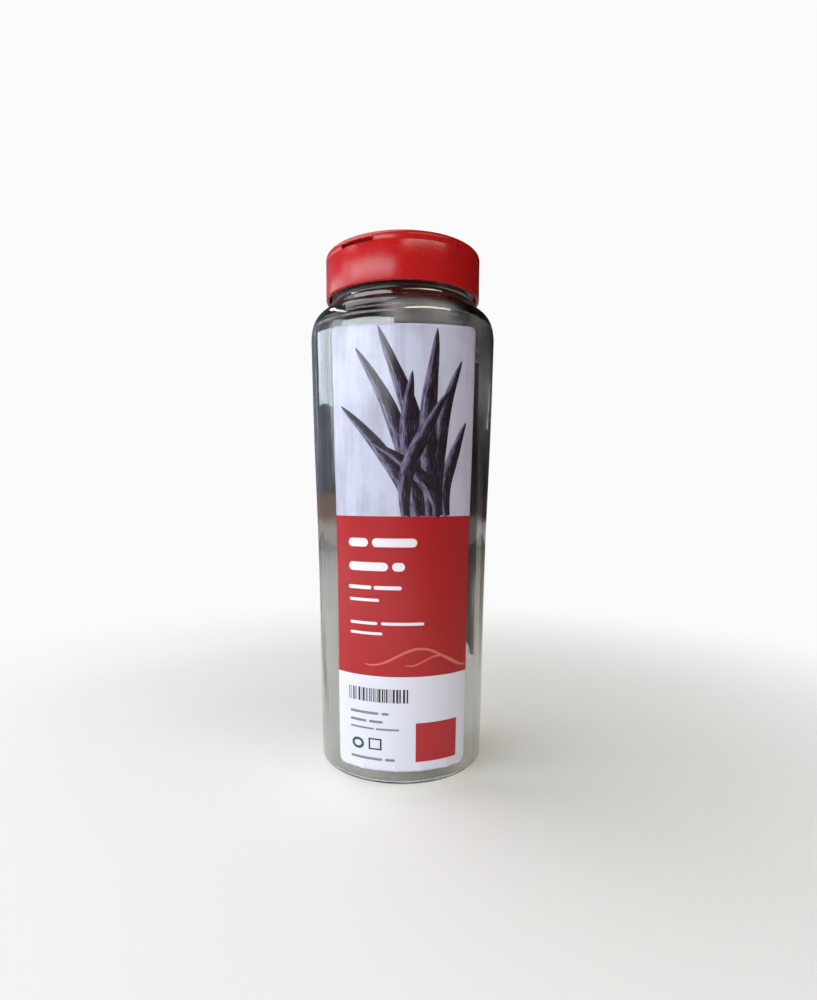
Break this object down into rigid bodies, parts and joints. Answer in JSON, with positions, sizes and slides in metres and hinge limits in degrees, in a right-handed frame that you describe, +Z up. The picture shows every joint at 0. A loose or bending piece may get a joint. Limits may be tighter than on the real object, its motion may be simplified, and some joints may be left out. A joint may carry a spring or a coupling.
{
  "type": "spice jar",
  "caption": "Clear round plastic spice jar with a red flip-top screw cap and a tall front label, holding a loose bundle of dried vanilla pods.",
  "frame": {"origin": "middle of the jar's foot, on the surface that it stands on", "axes": "+Z up along the jar's axis, -Y out through the middle of the label, +X to the label's right"},
  "size_m": [0.0802, 0.0805, 0.2303],
  "materials": {
    "clear_pet": "clear blown PET, smooth and glossy, faintly grey-green",
    "red_plastic": "moulded polypropylene, semi-gloss",
    "label_paper": "printed self-adhesive label, satin",
    "vanilla_pod": "dried, oily, wrinkled lengthwise"
  },
  "bodies": {
    "jar": {"jar": "clear_pet", "cap": "red_plastic", "label": "label_paper", "pod_01": "vanilla_pod", "pod_02": "vanilla_pod", "pod_03": "vanilla_pod", "pod_04": "vanilla_pod", "pod_05": "vanilla_pod", "pod_06": "vanilla_pod", "pod_07": "vanilla_pod", "pod_08": "vanilla_pod", "pod_09": "vanilla_pod", "pod_10": "vanilla_pod", "pod_11": "vanilla_pod", "pod_12": "vanilla_pod", "pod_13": "vanilla_pod"},
    "flap_front": {"flap_front": "red_plastic"},
    "flap_back": {"flap_back": "red_plastic"}
  },
  "joints": [
    {"name": "flap_front_hinge", "type": "hinge", "parent": "jar", "child": "flap_front", "pos_m": [-0.00426, -0.00636, 0.2303], "axis": [-0.831, 0.5563, 0], "range_deg": [0, 100]},
    {"name": "flap_back_hinge", "type": "hinge", "parent": "jar", "child": "flap_back", "pos_m": [0.00426, 0.00636, 0.2303], "axis": [0.831, -0.5563, 0], "range_deg": [0, 100]}
  ]
}
